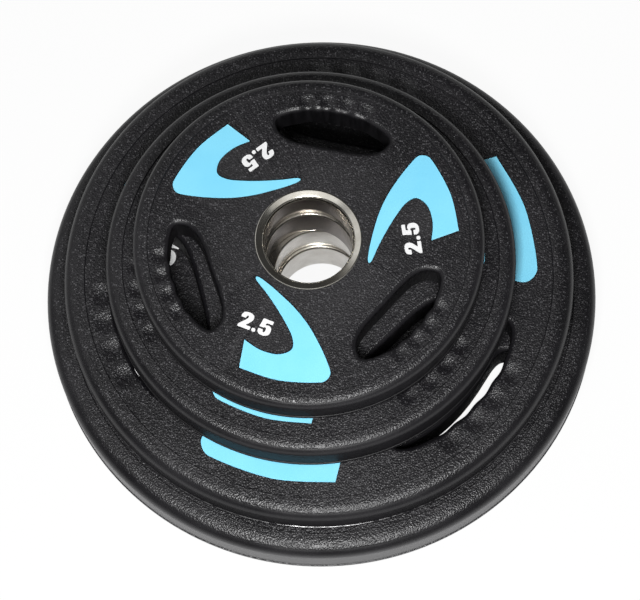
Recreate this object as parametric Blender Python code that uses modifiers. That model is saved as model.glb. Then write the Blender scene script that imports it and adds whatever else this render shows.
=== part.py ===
"""Pile of four urethane weight plates, nested largest to smallest on one bar axis.

Each plate is a cast iron core inside a moulded urethane casing, with a steel hub ring pressed
through its middle, three hand slots with finger grooves, and three hooked colour inlays.
Metres, +Z up. The origin is the middle of the largest plate's underside.
"""

import math

import bmesh
import bpy
from mathutils import Matrix, Vector

# Bar bore and the steel ring pressed round it
BORE_DIAMETER = 0.0506
HUB_WALL = 0.0052
HUB_MOUTH_CHAMFER = 0.0016

# Plate diameters over the urethane
DIAMETER_15 = 0.3266
DIAMETER_10 = 0.2990
DIAMETER_5 = 0.2370
DIAMETER_2_5 = 0.2006

# Plate thicknesses over the two rim lands
THICKNESS_15 = 0.0281
THICKNESS_10 = 0.0235
THICKNESS_5 = 0.0251
THICKNESS_2_5 = 0.0226

# Rim that the hand closes on, from the slot's outer wall to the plate's edge
GRIP_RIM_15 = 0.0310
GRIP_RIM_10 = 0.0285
GRIP_RIM_5 = 0.0230
GRIP_RIM_2_5 = 0.0203

# Hand slots, measured along the plate's radius
SLOT_REACH_15 = 0.0225
SLOT_REACH_10 = 0.0362
SLOT_REACH_5 = 0.0286
SLOT_REACH_2_5 = 0.0218

# How square each slot's inner side is: 2 is a plain ellipse
INNER_SQUARENESS_15 = 5.5
INNER_SQUARENESS_10 = 2.3
INNER_SQUARENESS_5 = 2.3
INNER_SQUARENESS_2_5 = 2.3

# Raised land round the edge of both faces
LAND_WIDTH_15 = 0.0134
LAND_WIDTH_10 = 0.0123
LAND_WIDTH_5 = 0.0098
LAND_WIDTH_2_5 = 0.0084
LAND_HEIGHT = 0.0008
LAND_STEP_RUN = 0.0005

# How each plate lies on the pile: sideways from the largest plate, and turned on the bar axis
SHIFT_X_10 = -0.0009
SHIFT_Y_10 = 0.0020
SHIFT_X_5 = -0.0050
SHIFT_Y_5 = 0.0025
SHIFT_X_2_5 = -0.0055
SHIFT_Y_2_5 = 0.0045
TURN_15 = math.radians(71.0)
TURN_10 = math.radians(74.9)
TURN_5 = math.radians(72.0)
TURN_2_5 = math.radians(75.4)

# Urethane over the iron core
FACE_SKIN = 0.0035
RIM_SKIN = 0.0060
SLOT_LINER = 0.0040
EDGE_ROUND = 0.0045

# Hand slots and their rounded mouths
SLOT_COUNT = 3
SLOT_HALF_ANGLE = math.radians(26.2)
SLOT_SHOULDER = 0.30
SLOT_OUTER_SQUARENESS = 3.6
SLOT_ROUND = 0.0035

# Finger grooves: a scallop in the slot's outer wall, and a shallow dip from there to the land
FINGER_COUNT = 4
FINGER_PITCH = math.radians(7.9)
FINGER_SCALLOP = 0.0008
FINGER_DEPTH = 0.0012
FINGER_LAND_MARGIN = 0.0006
FINGER_FLAT_SHARE = 0.4

# Hooked colour inlays between the slots: how far in from the plate's edge, and how wide they spread
INLAY_INSET_15 = 0.0240
INLAY_INSET_10 = 0.0214
INLAY_INSET_5 = 0.0180
INLAY_INSET_2_5 = 0.0147
HOOK_SPREAD_15 = 1.0
HOOK_SPREAD_10 = 1.06
HOOK_SPREAD_5 = 1.0
HOOK_SPREAD_2_5 = 1.0
HOOK_MIDDLE = 62.4
INLAY_THICKNESS = 0.0008

# Clearances
FIT_GAP = 0.0003
CUT_MARGIN = 0.0020
GRAZE = 0.00003
DIP_GRAZE = 0.00009

# Facets
PLATE_STEPS = 36
CORE_STEPS = 18
HUB_STEPS = 28
EDGE_STEPS = 2
FLARE_STEPS_TOP = 2
FLARE_STEPS_BOTTOM = 2
DIP_SHARES = (1.0, 0.5)
POINTS_PER_FINGER = 4
FINE_STEPS = 60
HOOK_FINE_STEPS = 8
OUTLINE_TOLERANCE = 0.0007
LINER_TOLERANCE = 0.0012
SHADE_ANGLE = math.radians(32)
MERGE = 0.00001

# Outline of one hook: share of the outer radius, and degrees on from the slot before it.
# It starts at the outer corner of the blunt end, follows the rim, rounds the broad corner,
# sweeps in to the tip and comes back along the inner side to the blunt end's other corner.
HOOK_KNOTS = (
    (1.000, 44.7),
    (1.000, 60.0),
    (1.000, 76.6),
    (0.955, 80.2),
    (0.870, 79.8),
    (0.735, 77.0),
    (0.600, 71.4),
    (0.492, 61.2),
    (0.430, 47.0),
    (0.409, 33.0),
    (0.418, 21.6),
    (0.434, 18.6),
    (0.447, 21.4),
    (0.464, 34.0),
    (0.512, 46.0),
    (0.600, 56.8),
    (0.700, 63.0),
    (0.780, 63.4),
    (0.828, 57.5),
    (0.833, 49.0),
    (0.815, 40.6),
)

BORE_RADIUS = BORE_DIAMETER / 2
HUB_RADIUS = BORE_RADIUS + HUB_WALL
SEAT_RADIUS = (HUB_RADIUS + FIT_GAP) / math.cos(math.pi / PLATE_STEPS)


class Plate:
    """Sizes of one plate, about its own axis, with its underside at zero height."""

    def __init__(self, label, diameter, thickness, grip_rim, slot_reach, inner_squareness,
                 land_width, inlay_inset, hook_spread, hook_hand, shift, turn):
        self.label = label
        self.radius = diameter / 2
        self.thickness = thickness
        self.slot_outer = self.radius - grip_rim
        self.slot_reach = slot_reach
        self.inner_squareness = inner_squareness
        self.land_inner = self.radius - land_width
        self.shift = shift
        self.turn = turn
        self.hook_hand = hook_hand
        self.hook_spread = hook_spread
        self.inlay_radius = self.radius - inlay_inset
        self.face_low = LAND_HEIGHT
        self.face_high = thickness - LAND_HEIGHT
        self.core_low = self.face_low + FACE_SKIN
        self.core_high = self.face_high - FACE_SKIN
        self.core_radius = self.radius - RIM_SKIN
        self.dip_reach = self.land_inner - FINGER_LAND_MARGIN - self.slot_outer


PILE = (
    Plate("15", DIAMETER_15, THICKNESS_15, GRIP_RIM_15, SLOT_REACH_15, INNER_SQUARENESS_15,
          LAND_WIDTH_15, INLAY_INSET_15, HOOK_SPREAD_15, -1, (0.0, 0.0), TURN_15),
    Plate("10", DIAMETER_10, THICKNESS_10, GRIP_RIM_10, SLOT_REACH_10, INNER_SQUARENESS_10,
          LAND_WIDTH_10, INLAY_INSET_10, HOOK_SPREAD_10, -1, (SHIFT_X_10, SHIFT_Y_10), TURN_10),
    Plate("5", DIAMETER_5, THICKNESS_5, GRIP_RIM_5, SLOT_REACH_5, INNER_SQUARENESS_5,
          LAND_WIDTH_5, INLAY_INSET_5, HOOK_SPREAD_5, -1, (SHIFT_X_5, SHIFT_Y_5), TURN_5),
    Plate("2_5", DIAMETER_2_5, THICKNESS_2_5, GRIP_RIM_2_5, SLOT_REACH_2_5, INNER_SQUARENESS_2_5,
          LAND_WIDTH_2_5, INLAY_INSET_2_5, HOOK_SPREAD_2_5, 1, (SHIFT_X_2_5, SHIFT_Y_2_5), TURN_2_5),
)


def clear_scene():
    """Remove whatever the file opened with."""
    for thing in list(bpy.data.objects):
        bpy.data.objects.remove(thing, do_unlink=True)


def make_collection(name):
    """A collection linked to the scene."""
    collection = bpy.data.collections.new(name)
    bpy.context.scene.collection.children.link(collection)
    return collection


def make_material(name, colour, roughness, metallic):
    """A plain Principled material."""
    material = bpy.data.materials.new(name)
    material.use_nodes = True
    shader = material.node_tree.nodes["Principled BSDF"]
    shader.inputs["Base Color"].default_value = (*colour, 1.0)
    shader.inputs["Roughness"].default_value = roughness
    shader.inputs["Metallic"].default_value = metallic
    material.diffuse_color = (*colour, 1.0)
    return material


def add_object(name, mesh, collection, parent, material):
    """Link a mesh as a named object under its plate's empty."""
    thing = bpy.data.objects.new(name, mesh)
    collection.objects.link(thing)
    thing.parent = parent
    mesh.materials.append(material)
    return thing


def mark_cutter(thing):
    """Keep a cutting shape out of the model and draw it as wire."""
    thing.hide_render = True
    thing.display_type = "WIRE"
    return thing


def cut(thing, name, operation, other):
    """Join or cut a solid by another."""
    boolean = thing.modifiers.new(name, "BOOLEAN")
    boolean.operation = operation
    boolean.solver = "EXACT"
    boolean.object = other


def turned(name, profile, steps, collection, parent, material):
    """A closed profile in the XZ plane, its outer side drawn downwards, turned about Z."""
    mesh = bpy.data.meshes.new(name)
    edges = [(i, (i + 1) % len(profile)) for i in range(len(profile))]
    mesh.from_pydata([(x, 0.0, z) for x, z in profile], edges, [])
    thing = add_object(name, mesh, collection, parent, material)
    screw = thing.modifiers.new("turn", "SCREW")
    screw.steps = steps
    screw.render_steps = steps
    screw.use_merge_vertices = True
    screw.merge_threshold = MERGE
    screw.use_smooth_shade = False
    return thing


def corner_arc(centre_x, centre_z, radius, start_deg, end_deg, steps):
    """Points of a round corner in the XZ plane."""
    points = []
    for i in range(steps + 1):
        angle = math.radians(start_deg + (end_deg - start_deg) * i / steps)
        points.append((centre_x + radius * math.cos(angle), centre_z + radius * math.sin(angle)))
    return points


def casing_profile(plate):
    """Section of the casing: faces, lands, rounded edge, and the pocket that holds the core."""
    round_x = plate.radius - EDGE_ROUND
    step_x = plate.land_inner + LAND_STEP_RUN
    pocket_radius = plate.core_radius / math.cos(math.pi / PLATE_STEPS) + FIT_GAP
    profile = [(SEAT_RADIUS, plate.face_high), (plate.land_inner, plate.face_high)]
    profile += [(step_x, plate.thickness)]
    profile += corner_arc(round_x, plate.thickness - EDGE_ROUND, EDGE_ROUND, 90, 0, EDGE_STEPS)
    profile += corner_arc(round_x, EDGE_ROUND, EDGE_ROUND, 0, -90, EDGE_STEPS)
    profile += [(step_x, 0.0), (plate.land_inner, plate.face_low), (SEAT_RADIUS, plate.face_low)]
    profile += [(SEAT_RADIUS, plate.core_low), (pocket_radius, plate.core_low)]
    profile += [(pocket_radius, plate.core_high), (SEAT_RADIUS, plate.core_high)]
    return profile


def core_profile(plate):
    """Section of the iron core, a plain ring inside the casing's pocket."""
    low = plate.core_low + FIT_GAP
    high = plate.core_high - FIT_GAP
    inner = SEAT_RADIUS / math.cos(math.pi / CORE_STEPS)
    return [(inner, high), (plate.core_radius, high), (plate.core_radius, low), (inner, low)]


def hub_profile(plate):
    """Section of the steel ring, with chamfered mouths for the bar."""
    mouth = BORE_RADIUS + HUB_MOUTH_CHAMFER
    low = plate.face_low
    high = plate.face_high
    profile = [(mouth, high), (HUB_RADIUS, high), (HUB_RADIUS, low), (mouth, low)]
    profile += [(BORE_RADIUS, low + HUB_MOUTH_CHAMFER), (BORE_RADIUS, high - HUB_MOUTH_CHAMFER)]
    return profile


def thinned(points, tolerance):
    """An open line without the points that lie closer to it than the tolerance."""
    chord = points[-1] - points[0]
    across = Vector((chord.y, -chord.x)).normalized()
    strays = [abs((point - points[0]).dot(across)) for point in points]
    worst = strays.index(max(strays))
    if strays[worst] < tolerance:
        return [points[0], points[-1]]
    return thinned(points[:worst + 1], tolerance)[:-1] + thinned(points[worst:], tolerance)


def slot_point(plate, angle, outer):
    """A point on the plain slot wall, which is squarer on its outer side than on its inner."""
    shoulder_depth = SLOT_SHOULDER * plate.slot_reach
    power = SLOT_OUTER_SQUARENESS if outer else plate.inner_squareness
    depth = shoulder_depth if outer else shoulder_depth - plate.slot_reach
    bulge = max(0.0, 1 - abs(angle / SLOT_HALF_ANGLE) ** power) ** (1 / power)
    radius = plate.slot_outer - shoulder_depth + depth * bulge
    return Vector((radius * math.cos(angle), radius * math.sin(angle)))


def eased_angles(start, end, count):
    """Angles that crowd together near both ends of their run."""
    middle = (start + end) / 2
    half = (end - start) / 2
    return [middle - half * math.cos(math.pi * i / count) for i in range(count + 1)]


def slot_rest(plate, start_angle):
    """The slot wall from one angle on its outer side round by the hub to that angle's mirror."""
    line = [slot_point(plate, a, True) for a in eased_angles(start_angle, SLOT_HALF_ANGLE, FINE_STEPS)]
    inner_angles = eased_angles(SLOT_HALF_ANGLE, -SLOT_HALF_ANGLE, FINE_STEPS)
    line += [slot_point(plate, a, False) for a in inner_angles[1:]]
    last_angles = eased_angles(-SLOT_HALF_ANGLE, -start_angle, FINE_STEPS)
    line += [slot_point(plate, a, True) for a in last_angles[1:]]
    return line


def finger_weight(angle):
    """One at the middle of each finger groove, nought on the ridges beside it."""
    phase = angle / FINGER_PITCH + FINGER_COUNT / 2
    return 0.5 - 0.5 * math.cos(2 * math.pi * phase)


def slot_outline(plate):
    """Slot wall points, counter-clockwise, and how far each one belongs to a finger groove."""
    grip = FINGER_COUNT * FINGER_PITCH / 2
    steps = FINGER_COUNT * POINTS_PER_FINGER
    angles = [grip * (2 * i / steps - 1) for i in range(steps + 1)]
    points = [slot_point(plate, angle, True) for angle in angles]
    weights = [finger_weight(angle) for angle in angles]
    rest = thinned(slot_rest(plate, grip), OUTLINE_TOLERANCE)[1:-1]
    return points + rest, weights + [0.0] * len(rest)


def liner_outline(plate):
    """Outer side of the urethane wall round a slot."""
    wall = slot_rest(plate, 0.0)
    parting = len(wall) // 3
    first = thinned(wall[:parting + 1], LINER_TOLERANCE)
    second = thinned(wall[parting:], LINER_TOLERANCE)
    return grown(first[:-1] + second[:-1], SLOT_LINER)


def outward_normals(points):
    """Unit normals of a counter-clockwise outline."""
    normals = []
    for i, point in enumerate(points):
        along = (points[(i + 1) % len(points)] - points[i - 1]).normalized()
        normals.append(Vector((along.y, -along.x)))
    return normals


def grown(points, distance):
    """A counter-clockwise outline moved outwards, its corners kept sharp."""
    moved = []
    for i, point in enumerate(points):
        before = (point - points[i - 1]).normalized()
        after = (points[(i + 1) % len(points)] - point).normalized()
        miter = Vector((before.y + after.y, -before.x - after.x))
        moved.append(point + miter * (2 * distance / miter.length_squared))
    return moved


def mouth_ring(outline, turn, face, inwards, dip_depth):
    """One ring of a slot's rounded mouth: turn is 90 degrees at the face and 0 at the wall."""
    points, weights = outline
    ring = []
    for point, normal, weight in zip(points, outward_normals(points), weights):
        scallop = weight * FINGER_SCALLOP
        dip = weight * dip_depth - GRAZE * math.sin(turn)
        place = point + normal * (scallop + (SLOT_ROUND - scallop) * (1 - math.cos(turn)))
        depth = dip + (SLOT_ROUND - dip) * (1 - math.sin(turn))
        ring.append(Vector((place.x, place.y, face + inwards * depth)))
    return ring


def dip_ring(plate, outline, share):
    """One ring of the grooves' dips in the upper face, by its share of the way out to the land."""
    slope = max(0.0, (share - FINGER_FLAT_SHARE) / (1 - FINGER_FLAT_SHARE))
    rise = slope * slope * (3 - 2 * slope)
    points, weights = outline
    ring = []
    for point, normal, weight in zip(points, outward_normals(points), weights):
        reach = math.sqrt(weight) * (plate.dip_reach - SLOT_ROUND) + DIP_GRAZE
        place = point + normal * (SLOT_ROUND + reach * share)
        depth = weight * FINGER_DEPTH * (1 - rise) - GRAZE - DIP_GRAZE * share
        ring.append(Vector((place.x, place.y, plate.face_high - depth)))
    return ring


def slot_rings(plate):
    """All rings of one hand slot's cutting shape, from above the plate to below it."""
    outline = slot_outline(plate)
    high, low = plate.face_high, plate.face_low
    rings = [dip_ring(plate, outline, share) for share in DIP_SHARES]
    rings += [mouth_ring(outline, math.pi / 2 * (1 - k / FLARE_STEPS_TOP), high, -1, FINGER_DEPTH)
              for k in range(FLARE_STEPS_TOP + 1)]
    rings += [mouth_ring(outline, math.pi / 2 * k / FLARE_STEPS_BOTTOM, low, 1, 0.0)
              for k in range(FLARE_STEPS_BOTTOM + 1)]
    above = [Vector((p.x, p.y, high + CUT_MARGIN)) for p in rings[0]]
    below = [Vector((p.x, p.y, low - CUT_MARGIN)) for p in rings[-1]]
    return [above] + rings + [below]


def lofted(name, ring_sets, collection, parent, material):
    """Closed solids, each skinned over a stack of rings that have the same number of points."""
    form = bmesh.new()
    for rings in ring_sets:
        rows = [[form.verts.new(p) for p in ring] for ring in rings]
        for upper, lower in zip(rows, rows[1:]):
            for i in range(len(upper)):
                j = (i + 1) % len(upper)
                form.faces.new((upper[i], lower[i], lower[j], upper[j]))
        form.faces.new(rows[0])
        form.faces.new(list(reversed(rows[-1])))
    bmesh.ops.recalc_face_normals(form, faces=form.faces)
    mesh = bpy.data.meshes.new(name)
    form.to_mesh(mesh)
    form.free()
    return add_object(name, mesh, collection, parent, material)


def extruded(name, outlines, low, high, collection, parent, material):
    """Flat outlines drawn as a filled 2-D curve, extruded between two heights, then made a mesh."""
    curve = bpy.data.curves.new(name, "CURVE")
    curve.dimensions = "2D"
    curve.fill_mode = "BOTH"
    curve.extrude = (high - low) / 2
    for outline in outlines:
        spline = curve.splines.new("POLY")
        spline.points.add(len(outline) - 1)
        for point, place in zip(spline.points, outline):
            point.co = (place.x, place.y, 0.0, 1.0)
        spline.use_cyclic_u = True
    drawing = bpy.data.objects.new(name + "_drawing", curve)
    collection.objects.link(drawing)
    bpy.context.view_layer.update()
    evaluated = drawing.evaluated_get(bpy.context.evaluated_depsgraph_get())
    mesh = bpy.data.meshes.new_from_object(evaluated)
    bpy.data.objects.remove(drawing, do_unlink=True)
    form = bmesh.new()
    form.from_mesh(mesh)
    bmesh.ops.remove_doubles(form, verts=form.verts, dist=MERGE)
    bmesh.ops.translate(form, verts=form.verts, vec=(0.0, 0.0, (high + low) / 2))
    bmesh.ops.recalc_face_normals(form, faces=form.faces)
    form.to_mesh(mesh)
    form.free()
    mesh.name = name
    mesh.materials.clear()
    return add_object(name, mesh, collection, parent, material)


def settled(thing):
    """Make the modifiers' result the piece's own mesh, smooth but for its sharp edges."""
    evaluated = thing.evaluated_get(bpy.context.evaluated_depsgraph_get())
    mesh = bpy.data.meshes.new_from_object(evaluated)
    thing.modifiers.clear()
    thing.data = mesh
    mesh.name = thing.name
    mesh.shade_smooth()
    mesh.set_sharp_from_angle(angle=SHADE_ANGLE)


def slot_angles():
    """Directions of the slots' middles in the plate's own frame."""
    return [2 * math.pi * i / SLOT_COUNT for i in range(SLOT_COUNT)]


def rotated(points, angle):
    """Plan or 3-D points turned about the plate's axis."""
    turn = Matrix.Rotation(angle, len(points[0]), "Z") if len(points[0]) == 3 else Matrix.Rotation(angle, 2)
    return [turn @ point for point in points]


def hook_outline(plate):
    """One hook, counter-clockwise: a smooth line through the knots, closed by the blunt end."""
    knots = []
    for share, degrees in HOOK_KNOTS:
        angle = math.radians(HOOK_MIDDLE + plate.hook_spread * (degrees - HOOK_MIDDLE))
        knots.append(plate.inlay_radius * share * Vector((math.cos(angle), math.sin(angle))))
    last = len(knots) - 1
    line = [knots[0]]
    for i in range(last):
        start, end = knots[i], knots[i + 1]
        leave = (end - knots[max(i - 1, 0)]) / 2
        arrive = (knots[min(i + 2, last)] - start) / 2
        longest = (end - start).length
        leave = leave.normalized() * min(leave.length, longest)
        arrive = arrive.normalized() * min(arrive.length, longest)
        for k in range(1, HOOK_FINE_STEPS + 1):
            t = k / HOOK_FINE_STEPS
            place = start * (2 * t ** 3 - 3 * t ** 2 + 1) + end * (3 * t ** 2 - 2 * t ** 3)
            line.append(place + leave * (t ** 3 - 2 * t ** 2 + t) + arrive * (t ** 3 - t ** 2))
    outline = thinned(line, OUTLINE_TOLERANCE)
    if plate.hook_hand < 0:
        outline = [Vector((point.x, -point.y)) for point in reversed(outline)]
    return outline


def make_plate(plate, base_height, parts, cutters, materials):
    """Build one plate under its own empty and return the empty."""
    name = "plate_" + plate.label
    axis = bpy.data.objects.new(name + "_axis", None)
    parts.objects.link(axis)
    axis.location = (plate.shift[0], plate.shift[1], base_height)
    axis.rotation_euler = (0.0, 0.0, plate.turn)

    urethane = materials["urethane"]
    casing = turned(name + "_casing", casing_profile(plate), PLATE_STEPS, parts, axis, urethane)
    core = turned(name + "_core", core_profile(plate), CORE_STEPS, parts, axis, materials["iron"])
    turned(name + "_hub_ring", hub_profile(plate), HUB_STEPS, parts, axis, materials["steel"])

    skin_overlap = FACE_SKIN / 2
    liner_rings = [rotated(liner_outline(plate), angle) for angle in slot_angles()]
    liners = extruded(name + "_slot_liners", liner_rings, plate.core_low - skin_overlap,
                      plate.core_high + skin_overlap, cutters, axis, urethane)
    cut(casing, "slot liners", "UNION", mark_cutter(liners))

    core_rings = [grown(ring, FIT_GAP) for ring in liner_rings]
    core_cuts = extruded(name + "_core_cuts", core_rings, plate.core_low - CUT_MARGIN,
                         plate.core_high + CUT_MARGIN, cutters, axis, materials["iron"])
    cut(core, "slots", "DIFFERENCE", mark_cutter(core_cuts))

    rings = slot_rings(plate)
    slot_sets = [[rotated(ring, angle) for ring in rings] for angle in slot_angles()]
    slots = lofted(name + "_slot_cuts", slot_sets, cutters, axis, urethane)
    cut(casing, "hand slots", "DIFFERENCE", mark_cutter(slots))

    hook = hook_outline(plate)
    inlay_floor = plate.face_high - INLAY_THICKNESS
    pocket_rings = [rotated(grown(hook, FIT_GAP), angle) for angle in slot_angles()]
    pockets = extruded(name + "_inlay_pockets", pocket_rings, inlay_floor - FIT_GAP,
                       plate.face_high + CUT_MARGIN, cutters, axis, urethane)
    cut(casing, "inlay pockets", "DIFFERENCE", mark_cutter(pockets))
    for i, angle in enumerate(slot_angles()):
        extruded(name + "_inlay_%d" % (i + 1), [rotated(hook, angle)], inlay_floor,
                 plate.face_high, parts, axis, materials["inlay"])
    return axis


def main():
    """Build the pile from the floor up."""
    clear_scene()
    parts = make_collection("urethane_weight_plates")
    cutters = make_collection("cutters")
    materials = {
        "urethane": make_material("black_urethane", (0.018, 0.018, 0.020), 0.62, 0.0),
        "iron": make_material("cast_iron", (0.14, 0.14, 0.14), 0.70, 1.0),
        "steel": make_material("turned_steel", (0.60, 0.58, 0.53), 0.28, 1.0),
        "inlay": make_material("sky_blue_urethane", (0.21, 0.72, 1.0), 0.45, 0.0),
    }
    base_height = 0.0
    for plate in PILE:
        make_plate(plate, base_height, parts, cutters, materials)
        base_height += plate.face_high + FIT_GAP
    bpy.context.view_layer.update()
    for thing in parts.objects:
        if thing.type == "MESH":
            settled(thing)


main()
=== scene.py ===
"""How the pile of four urethane weight plates looks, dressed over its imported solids.

The plates lie flat, largest at the bottom, all on one bar axis. Metres, +Z up. The file follows
one plate as it is put together, and makes each piece for all four before it goes on.
"""

import math

import bmesh
import bpy
from mathutils import Matrix, Vector


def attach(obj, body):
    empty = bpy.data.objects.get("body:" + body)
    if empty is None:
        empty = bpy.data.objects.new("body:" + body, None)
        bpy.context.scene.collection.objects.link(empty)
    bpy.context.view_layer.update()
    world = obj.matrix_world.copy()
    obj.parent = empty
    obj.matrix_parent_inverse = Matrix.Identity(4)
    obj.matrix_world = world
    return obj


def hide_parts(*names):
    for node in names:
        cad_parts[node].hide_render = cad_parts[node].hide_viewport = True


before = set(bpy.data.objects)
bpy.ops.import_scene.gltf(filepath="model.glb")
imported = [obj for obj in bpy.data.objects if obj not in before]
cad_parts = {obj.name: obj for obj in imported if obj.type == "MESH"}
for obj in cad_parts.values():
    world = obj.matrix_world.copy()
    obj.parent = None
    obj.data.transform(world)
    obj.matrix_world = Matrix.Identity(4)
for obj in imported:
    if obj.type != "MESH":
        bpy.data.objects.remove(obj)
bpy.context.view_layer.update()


# ---------------------------------------------------------------------------------------------
# Cores. The weight of each plate is a rough ring of cast iron, sealed inside the urethane, with
# windows where the hand slots pass. Sand-cast and left as cast, so it keeps a dull, grainy skin.
# ---------------------------------------------------------------------------------------------

IRON_DARK = (0.060, 0.058, 0.056, 1.0)
IRON_LIGHT = (0.115, 0.110, 0.104, 1.0)
IRON_ROUGH = (0.62, 0.85)
IRON_GRAIN_PER_METRE = 700.0
IRON_GRAIN_HEIGHT = 0.00025
IRON_PATCHES_PER_METRE = 45.0


def node(finish, kind, feeds, **settings):
    """Add one shader node; each feed is a plain value or another node's outlet."""
    made = finish.node_tree.nodes.new("ShaderNode" + kind)
    for key, value in settings.items():
        setattr(made, key, value)
    for socket, value in feeds.items():
        if isinstance(value, bpy.types.NodeSocket):
            finish.node_tree.links.new(value, made.inputs[socket])
        else:
            made.inputs[socket].default_value = value
    return made


def blended(finish, share, first, second):
    """The colour between two others, by a share from nought to one."""
    mix = node(finish, "Mix", {}, data_type="RGBA")
    for socket, value in ((0, share), (6, first), (7, second)):
        if isinstance(value, bpy.types.NodeSocket):
            finish.node_tree.links.new(value, mix.inputs[socket])
        else:
            mix.inputs[socket].default_value = value
    return mix.outputs[2]


def spread(finish, value, low, high, to_low, to_high):
    """A value carried from one range to another and held at both ends."""
    feeds = {"Value": value, "From Min": low, "From Max": high, "To Min": to_low, "To Max": to_high}
    return node(finish, "MapRange", feeds).outputs["Result"]


def new_finish(name, metallic):
    """A material, its Principled shader, and the outlet that gives a point's place on its piece."""
    finish = bpy.data.materials.new(name)
    finish.use_nodes = True
    shader = finish.node_tree.nodes["Principled BSDF"]
    shader.inputs["Metallic"].default_value = metallic
    place = node(finish, "TexCoord", {}).outputs["Object"]
    return finish, shader, place


def noise(finish, place, per_metre, detail=3.0, **settings):
    """The level of a soft noise, which lies nearly always between 0.3 and 0.7."""
    feeds = {"Vector": place, "Scale": per_metre, "Detail": detail}
    return node(finish, "TexNoise", feeds, **settings).outputs["Fac"]


def mottled(finish, level, first, second, low=0.35, high=0.65):
    """A colour that goes from one to another as a noise rises from low to high."""
    return blended(finish, spread(finish, level, low, high, 0.0, 1.0), first, second)


def roughened(finish, level, least, most, low=0.3, high=0.7):
    """A roughness that goes from least to most as a noise rises from low to high."""
    return spread(finish, level, low, high, least, most)


def plug(finish, shader, colour, roughness, level, height):
    """Join a finish's colour, its roughness and a relief of this height to its shader."""
    relief = node(finish, "Bump", {"Height": level, "Distance": height})
    links = finish.node_tree.links
    links.new(colour, shader.inputs["Base Color"])
    links.new(roughness, shader.inputs["Roughness"])
    links.new(relief.outputs["Normal"], shader.inputs["Normal"])


iron, shader, place = new_finish("rough_cast_iron", 1.0)
sand = noise(iron, place, IRON_GRAIN_PER_METRE, detail=4.0)
patches = noise(iron, place, IRON_PATCHES_PER_METRE)
shade = mottled(iron, patches, IRON_DARK, IRON_LIGHT)
plug(iron, shader, shade, roughened(iron, sand, *IRON_ROUGH), sand, IRON_GRAIN_HEIGHT)

for label in ("15", "10", "5", "2_5"):
    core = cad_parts["plate_%s_core" % label]
    for bay in core.material_slots:
        bay.material = iron


# ---------------------------------------------------------------------------------------------
# Casings. Black urethane cast round the core in one shot: a raised land round the edge of both
# faces, a full-rounded rim with the mould's parting line low on it, three hand slots with four
# shallow finger dips beside each, and three shallow hooked pockets for the colour.
# ---------------------------------------------------------------------------------------------

# Each plate: diameter, thickness, rim beyond the slot, slot along the radius, how square the
# slot's inner side is, width of the land, how far the rim's rounding runs in and down
PLATE_SIZES = {
    "15": (0.3266, 0.0281, 0.0310, 0.0225, 5.5, 0.0134, 0.0100, 0.0070),
    "10": (0.2990, 0.0235, 0.0285, 0.0362, 2.3, 0.0123, 0.0085, 0.0062),
    "5": (0.2370, 0.0251, 0.0230, 0.0286, 2.3, 0.0098, 0.0070, 0.0056),
    "2_5": (0.2006, 0.0226, 0.0203, 0.0218, 2.3, 0.0084, 0.0058, 0.0048),
}
# Each plate: outer radius, spread and hand of its hooks, place on the pile, turn in degrees
PLATE_LIES = {
    "15": (0.1393, 1.0, -1, (0.0, 0.0), 71.0),
    "10": (0.1281, 1.06, -1, (-0.0009, 0.0020), 74.9),
    "5": (0.1005, 1.0, -1, (-0.0050, 0.0025), 72.0),
    "2_5": (0.0856, 1.0, 1, (-0.0055, 0.0045), 75.4),
}
# The land's height, half the width of its soft step, and where in that step its rings lie
LAND_HEIGHT = 0.0008
LAND_STEP = 0.00028
LAND_SHARES = (0.25, 0.5, 0.75, 1.0)
LOWER_ROUND = 0.0025
EDGE_STEPS = 10
CASING_STEPS = 180
# The mould's parting line: a thin lip low on the rim, by radius short of the rim and height. On
# the plate that rests on the lowest one it is rubbed bright.
PARTING_LIP = ((0.00050, 0.00402), (0.00010, 0.00386), (0.0, 0.00370), (0.0, 0.00310))
# The lip's finish, of the casing's three: 0 the skin's, 1 the slots' dull one, 2 the rubbed one
LIP_BAYS = {"15": 0, "10": 2, "5": 1, "2_5": 1}

# The urethane over the core's faces and rim, the radius of the hub ring and of its seat, and the
# free space between plates and round the core
FACE_SKIN = 0.0035
RIM_SKIN = 0.0060
RING_RADIUS = 0.0305
SEAT_RADIUS = 0.03057
STACK_GAP = 0.0003
# The urethane wall that lines the core's window round a slot
LINER_WALL = 0.0040
LINER_TOLERANCE = 0.0012

# A slot's plan, how far its mouth is rounded, and where its dull wall begins in that rounding
SLOT_TURNS = [math.radians(120 * i) for i in range(3)]
SLOT_HALF_ANGLE = math.radians(26.2)
SLOT_SHOULDER = 0.30
SLOT_OUTER_POWER = 3.6
SLOT_ROUND = 0.0035
WALL_TURN = math.radians(35)
WALL_TOLERANCE = 0.00012
MOUTH_STEPS = 9
FINE_STEPS = 90
# The fingers' scallops in the wall, and their dips in the face, which end short of the land
FINGERS = 4
FINGER_PITCH = math.radians(7.9)
FINGER_SCALLOP = 0.0008
FINGER_DEPTH = 0.0013
FINGER_MARGIN = 0.0006
FINGER_FLAT = 0.25
POINTS_PER_FINGER = 12
DIP_SHARES = (1.0, 0.9, 0.8, 0.7, 0.6, 0.5, 0.35, 0.18)
DIP_SPREAD = 8.0
# Cutters stand this far clear of a face, or cross it at a graze, so no two faces lie in one plane
CUT_MARGIN = 0.0020
GRAZE = 0.00003
DIP_GRAZE = 0.00009

POCKET_DEPTH = 0.0011
POCKET_ROOM = 0.00045
SHARP_ANGLE = math.radians(34)

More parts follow.
